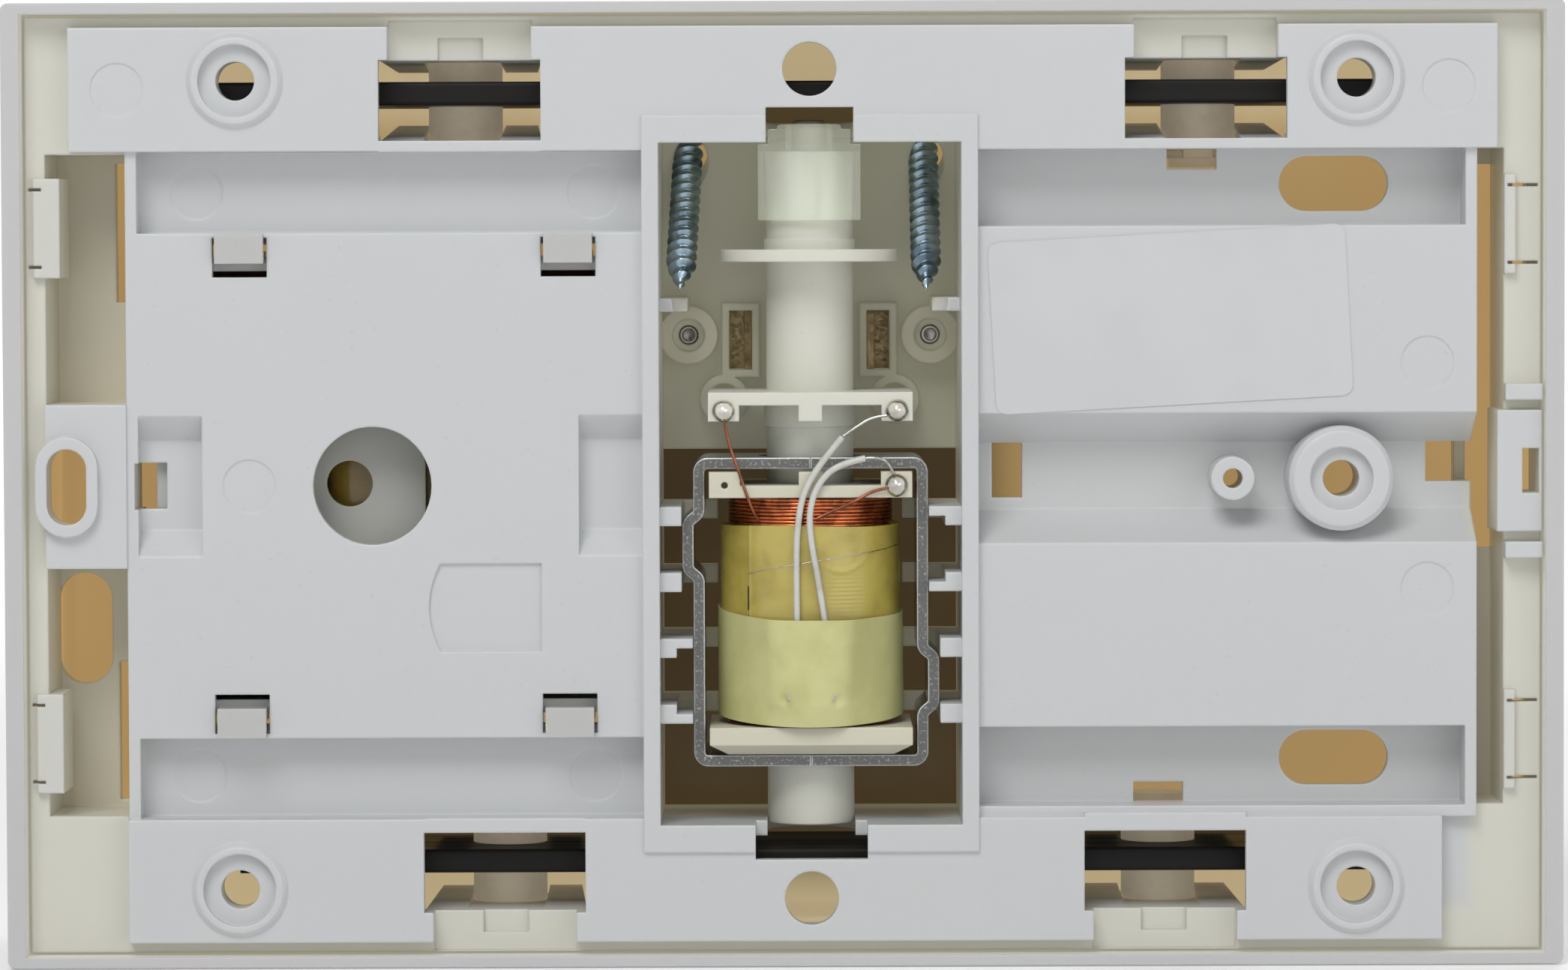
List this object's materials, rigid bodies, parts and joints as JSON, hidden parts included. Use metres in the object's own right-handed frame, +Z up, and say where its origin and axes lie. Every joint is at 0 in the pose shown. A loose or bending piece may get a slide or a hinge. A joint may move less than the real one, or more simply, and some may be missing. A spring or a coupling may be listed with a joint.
{
  "type": "doorbell chime box",
  "caption": "Wall-hung two-tone doorbell chime: solenoid plunger, tone bars on rubber posts, built-in transformer and lift-off cover.",
  "frame": {"origin": "centre of the cover's back rim, on the wall plane", "axes": "+Z up on the wall, +Y into the wall, -Y out of the cover's face, +X towards the mains end"},
  "size_m": [0.205, 0.048, 0.127],
  "materials": {
    "cover_white": "smooth white moulding",
    "chassis_white": "smooth white moulding",
    "former_white": "natural nylon",
    "cream_plastic": "natural nylon",
    "black_steel": "black lacquer",
    "grommet_rubber": "soft natural rubber",
    "clear_plastic": "clear soft plastic",
    "plain_steel": "turned",
    "nylon": "natural nylon",
    "spring_steel": "drawn wire",
    "copper": "enamelled copper wire",
    "amber_tape": "amber polyester tape",
    "pale_tape": "pale yellow polyester tape",
    "fuse_body": "ceramic",
    "zinc_steel": "bright zinc plate",
    "sleeving": "silicone glass sleeve",
    "tinned_wire": "tinned",
    "solder": "bright solder",
    "zinc_screw": "blue zinc plate",
    "brass_plate": "plain",
    "label_film": "blank white film",
    "block_plastic": "plain",
    "core_steel": "varnished laminations",
    "winding_tape": "wound and taped"
  },
  "bodies": {
    "base": {"chassis": "chassis_white", "mains_housing": "chassis_white", "coil_former": "former_white", "cable_guide": "cream_plastic", "lower_bobbin": "cream_plastic", "transformer_bobbin": "cream_plastic", "tone_bar_upper": "black_steel", "tone_bar_lower": "black_steel", "grommets_upper": "grommet_rubber", "grommets_lower": "grommet_rubber", "clear_cap": "clear_plastic", "return_spring": "spring_steel", "coil_body": "copper", "coil_winding": "copper", "coil_lead_start": "copper", "coil_lead_end": "copper", "coil_tape_inner": "amber_tape", "coil_tape_outer": "pale_tape", "thermal_fuse": "fuse_body", "yoke_mains": "zinc_steel", "yoke_bell": "zinc_steel", "sleeved_lead_a": "sleeving", "sleeved_lead_b": "sleeving", "fuse_wire_a": "tinned_wire", "fuse_wire_b": "tinned_wire", "terminal_pins": "tinned_wire", "solder_beads": "solder", "wall_screws": "zinc_screw", "terminal_screws": "zinc_screw", "terminal_clamps": "brass_plate", "rating_label": "label_film", "mains_block": "block_plastic", "mains_inserts": "brass_plate", "mains_screws": "zinc_screw", "transformer_core": "core_steel", "transformer_winding": "winding_tape"},
    "plunger": {"plunger_core": "plain_steel", "striker_upper": "nylon", "striker_lower": "nylon"},
    "cover": {"cover": "cover_white"}
  },
  "joints": [
    {"name": "plunger_slide", "type": "slide", "parent": "base", "child": "plunger", "axis": [0, 0, 1], "range_m": [-0.0036, 0.002], "stiffness_N_per_m": 60, "springref_m": 0.0035, "deforming": ["return_spring"]},
    {"name": "cover_lift", "type": "slide", "parent": "base", "child": "cover", "axis": [0, -1, 0], "range_m": [0, 0.06]}
  ]
}
